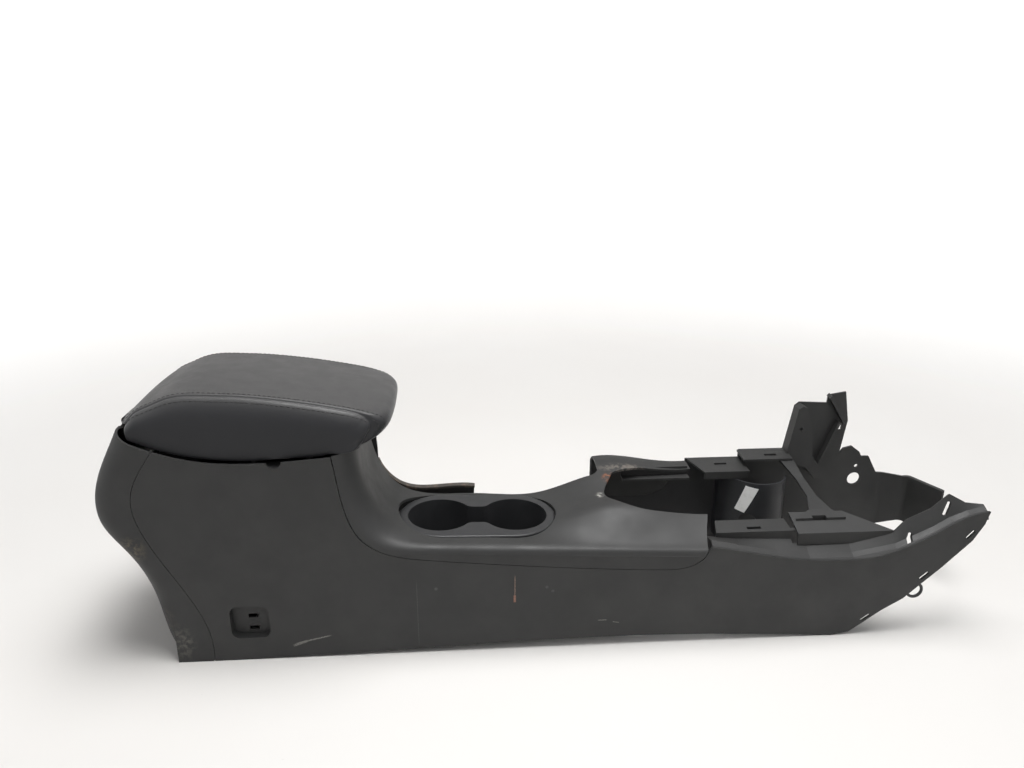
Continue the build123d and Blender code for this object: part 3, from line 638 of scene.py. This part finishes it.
def buildLid():
    top = sideLine("top", lid["stations"])
    bottom = sideLine("bottom", lid["stations"])
    mesh = bmesh.new()
    ring = None
    for station in range(lid["stations"]):
        upper, lower = top[station], bottom[station]
        ahead = lineAhead(top, station)
        normal = Vector((-ahead.y, ahead.x)).normalized()
        nose = clamp((upper.x - lid["noseX"]) / lid["noseReach"])
        heel = clamp((lid["heelX"] - upper.x) / lid["heelReach"])
        under = lineAhead(bottom, station)
        half = halfProfile(upper, lower, normal)
        places = lidRing(half, lower, nose - heel * lid["heelShare"], min(0.0, under.y / under.x))
        if ring is None:
            order = [mesh.verts.new(place) for place in places]
            ring = [mesh.edges.new(pair) for pair in zip(order, order[1:] + order[:1])]
            continue
        made = bmesh.ops.extrude_edge_only(mesh, edges=ring)["geom"]
        fresh = set(newVerts(made))
        ring = [item for item in made if isinstance(item, bmesh.types.BMEdge) and fresh.issuperset(item.verts)]
        pulled = {edge.other_vert(vert): vert for vert in fresh for edge in vert.link_edges}
        order = [pulled[vert] for vert in order]
        for vert, place in zip(order, places):
            vert.co = place
    bmesh.ops.holes_fill(mesh, edges=[edge for edge in mesh.edges if edge.is_boundary], sides=0)
    bmesh.ops.recalc_face_normals(mesh, faces=mesh.faces)
    return mesh


# room inside the cover for the inner panel, the hinge barrel, the latch and the hinge arms
lidRoom = {
    "lineStart": 3,        # points of the lower side-view line that the panel's room follows
    "lineEnd": -2,
    "lineSteps": 12,
    "skin": 0.0035,
    "heelGap": 0.0257,     # from the inner panel's rear end
    "heelStep": 0.001,
    "front": -0.2217,
    "floor": 0.235,
    "half": 0.0823,
    "barrelRadius": 0.0065,
    "barrelLength": 0.128,
    "latchLow": (-0.247, -0.030, 0.230),
    "latchHigh": (-0.207, 0.030, 0.262),
    "arm": [(-0.472, 0.2785), (-0.444, 0.2640), (-0.444, 0.2730), (-0.472, 0.2870)],
    "armHalf": 0.003,
    "armY": 0.0485,
}


def panelRoom():
    lower = smoothLine(lid["bottom"][lidRoom["lineStart"]:lidRoom["lineEnd"]], lidRoom["lineSteps"])
    line = [(point.x / 1000, point.y / 1000 + lidRoom["skin"]) for point in lower]
    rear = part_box("lid_panel")[0].x + lidRoom["heelGap"]
    line[0] = (rear, line[0][1] + lidRoom["heelStep"])
    line[-1] = (lidRoom["front"], line[-1][1])
    return layerMesh(line + [(lidRoom["front"], lidRoom["floor"]), (rear, lidRoom["floor"])], lidRoom["half"])


def barrelRoom():
    pinLow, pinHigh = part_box("hinge_pin")
    radius = lidRoom["barrelRadius"]
    mesh = bmesh.new()
    bmesh.ops.create_cone(mesh, cap_ends=True, segments=40, radius1=radius, radius2=radius,
                          depth=lidRoom["barrelLength"])
    bmesh.ops.rotate(mesh, verts=mesh.verts, matrix=Matrix.Rotation(math.pi / 2, 3, "X"))
    bmesh.ops.translate(mesh, verts=mesh.verts, vec=(pinLow + pinHigh) / 2)
    return mesh


cover = makePiece("armrest_cover", buildLid(), leatherCover)
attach(cover, "lid")
rounding = cover.modifiers.new("rounding", "SUBSURF")
rounding.levels = lid["rounding"]
rounding.render_levels = lid["rounding"]
bake(cover)
cutWith(cover, panelRoom())
cutWith(cover, barrelRoom())
cutWith(cover, boxMesh(lidRoom["latchLow"], lidRoom["latchHigh"]))
for side in (-1, 1):
    cutWith(cover, layerMesh(lidRoom["arm"], lidRoom["armHalf"], side * lidRoom["armY"]))
shadeSmooth(cover.data)
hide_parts("lid_pad")
print("lid cover made", len(cover.data.polygons), "faces")


# two rows of thread beside the seam, on both sides of the lid

stitch = {
    "pitch": 0.0052,
    "length": 0.0036,
    "radius": 0.00042,
    "overlap": 1.12,        # of a thread's length, so that its ends dip into the leather
    "proud": 0.00022,
    "shortest": 0.001,
    "lineSteps": 400,
    "firstStep": 14,
    "lastStep": 372,
    # beside the crease line: distance out along y, and along the side view's outward direction
    "rows": [(-0.0038, 0.004), (0.006, -0.0052)],
}


def addThread(mesh, start, end, away):
    middle = (start + end) / 2 + away * stitch["proud"]
    turn = Vector((0, 0, 1)).rotation_difference((end - start).normalized()).to_matrix().to_4x4()
    size = (stitch["radius"], stitch["radius"], (end - start).length * stitch["overlap"] / 2, 1)
    bmesh.ops.create_uvsphere(mesh, u_segments=6, v_segments=5, radius=1,
                              matrix=Matrix.Translation(middle) @ turn @ Matrix.Diagonal(size))


def stitchLine(tree, side, row):
    # points of one row on the leather: distance walked, place, direction away from it
    across, outward = stitch["rows"][row]
    line = sideLine("top", stitch["lineSteps"])
    walked = 0.0
    marks = []
    for step in range(stitch["firstStep"], stitch["lastStep"]):
        ahead = lineAhead(line, step).normalized()
        away = Vector((-ahead.y, 0, ahead.x))
        guess = Vector((line[step].x, side * (lid["creaseY"] + across), line[step].y)) + away * outward
        spot, direction, face, distance = tree.find_nearest(guess)
        if marks:
            walked += (spot - marks[-1][1]).length
        marks.append((walked, spot, direction))
    return marks


def markAt(marks, distance):
    # place and direction of the first mark at that distance or past it
    return next((mark for mark in marks if mark[0] >= distance), marks[-1])[1:]


def buildStitches():
    tree = BVHTree.FromObject(cover, bpy.context.evaluated_depsgraph_get())
    mesh = bmesh.new()
    for side in (-1, 1):
        for row in range(len(stitch["rows"])):
            marks = stitchLine(tree, side, row)
            for number in range(int(marks[-1][0] / stitch["pitch"])):
                begin = number * stitch["pitch"]
                start, away = markAt(marks, begin)
                end = markAt(marks, begin + stitch["length"])[0]
                if (end - start).length >= stitch["shortest"]:
                    addThread(mesh, start, end, away)
    return mesh


stitches = makePiece("seam_stitches", buildStitches(), threadDark)
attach(stitches, "lid")
print("stitches made", len(stitches.data.polygons), "faces")


# floor that curves up into a backdrop

studio = {
    "half": 3.2,
    "front": -2.6,
    "back": 2.1,
    "bend": 0.9,
    "bendSteps": 12,
    "height": 3.0,
    "tone": (0.735, 0.715, 0.69),
    "paleTone": (0.76, 0.75, 0.73),
    "shadeScale": 1.6,
    "dotTone": (0.35, 0.33, 0.31),
    "dotScale": 170,
    "dotRange": (0.77, 0.80),
    "whiteRange": (0.5, 3.0),        # metres from the console, white to the camera at the second
    "roughness": 0.8,
}


def buildStudio():
    mesh = bmesh.new()
    bend, corner = studio["bend"], studio["back"] - studio["bend"]
    line = [(studio["front"], 0), (corner, 0)]
    for step in range(1, studio["bendSteps"] + 1):
        angle = step / studio["bendSteps"] * math.pi / 2
        line.append((corner + math.sin(angle) * bend, bend - math.cos(angle) * bend))
    line.append((studio["back"], studio["height"]))
    verts = [mesh.verts.new((-studio["half"], y, z)) for y, z in line]
    edges = [mesh.edges.new(pair) for pair in zip(verts, verts[1:])]
    made = bmesh.ops.extrude_edge_only(mesh, edges=edges)["geom"]
    bmesh.ops.translate(mesh, verts=newVerts(made), vec=(2 * studio["half"], 0, 0))
    bmesh.ops.recalc_face_normals(mesh, faces=mesh.faces)
    return mesh


def makeBackdrop():
    mat, shader = startMaterial("paleFloor", studio["tone"], studio["roughness"])
    place = objectPlace(mat)
    shade = remap(mat, noise(mat, place, studio["shadeScale"], 3), 0.3, 0.7, 0, 0.5)
    color = blendColor(mat, shade, studio["tone"], studio["paleTone"])
    dots = remap(mat, noise(mat, place, studio["dotScale"], 3, 0.5), *studio["dotRange"], 0, 0.6)
    join(mat, blendColor(mat, dots, color, studio["dotTone"]), shader.inputs["Base Color"])
    # away from the console the floor and the curve are white to the camera only
    away = remap(mat, vectorLength(mat, place), *studio["whiteRange"])
    seen = addNode(mat, "ShaderNodeLightPath").outputs["Is Camera Ray"]
    shader.inputs["Emission Color"].default_value = (1, 1, 1, 1)
    join(mat, calc(mat, "MULTIPLY", away, seen), shader.inputs["Emission Strength"])
    return mat


floor = makePiece("studio_floor", buildStudio(), makeBackdrop())
print("floor and backdrop made")


# camera, lamps and sky

view = {
    "place": (-0.110, -0.881, 0.600),
    "tilt": 71.0,
    "swing": -3.79,
    "lens": 28.125,
    "sensor": 36.0,
    "nearest": 0.02,
}
cameraData = bpy.data.cameras.new("photoCamera")
cameraData.lens = view["lens"]
cameraData.sensor_width = view["sensor"]
cameraData.clip_start = view["nearest"]
camera = addObject("photoCamera", cameraData)
camera.location = view["place"]
camera.rotation_euler = (math.radians(view["tilt"]), 0, math.radians(view["swing"]))
bpy.context.scene.camera = camera

lamps = [
    {"name": "topLight", "place": (0.05, -0.10, 1.9), "aim": (-0.05, 0.0, 0.1), "size": 1.05, "power": 42},
    {"name": "rightLight", "place": (1.7, -1.4, 1.3), "aim": (-0.1, 0, 0.1), "size": 1.2, "power": 2.5},
    {"name": "leftLight", "place": (-1.9, -1.2, 1.3), "aim": (0.0, 0, 0.1), "size": 1.2, "power": 3.0},
]
for lamp in lamps:
    data = bpy.data.lights.new(lamp["name"], "AREA")
    data.shape = "SQUARE"
    data.size = lamp["size"]
    data.energy = lamp["power"]
    light = addObject(lamp["name"], data)
    light.location = lamp["place"]
    light.rotation_euler = (Vector(lamp["aim"]) - Vector(lamp["place"])).to_track_quat("-Z", "Y").to_euler()

sky = {"tone": (0.96, 0.975, 1.0), "strength": 0.31}


def makeSky():
    # soft light for the console, plain white for the camera and for what metal or glass reflects
    world = bpy.data.worlds.new("studioWorld")
    world.use_nodes = True
    soft = world.node_tree.nodes["Background"]
    soft.inputs["Color"].default_value = (*sky["tone"], 1)
    soft.inputs["Strength"].default_value = sky["strength"]
    white = addNode(world, "ShaderNodeBackground")
    white.inputs["Color"].default_value = (1, 1, 1, 1)
    path = addNode(world, "ShaderNodeLightPath")
    seen = path.outputs["Is Camera Ray"]
    for ray in ("Is Glossy Ray", "Is Transmission Ray"):
        seen = calc(world, "MAXIMUM", seen, path.outputs[ray])
    chooser = addNode(world, "ShaderNodeMixShader")
    join(world, seen, chooser.inputs["Fac"])
    join(world, soft.outputs["Background"], chooser.inputs[1])
    join(world, white.outputs["Background"], chooser.inputs[2])
    join(world, chooser.outputs["Shader"], world.node_tree.nodes["World Output"].inputs["Surface"])
    return world


bpy.context.scene.world = makeSky()
bpy.context.scene.view_settings.view_transform = "Standard"
print("camera and light set")
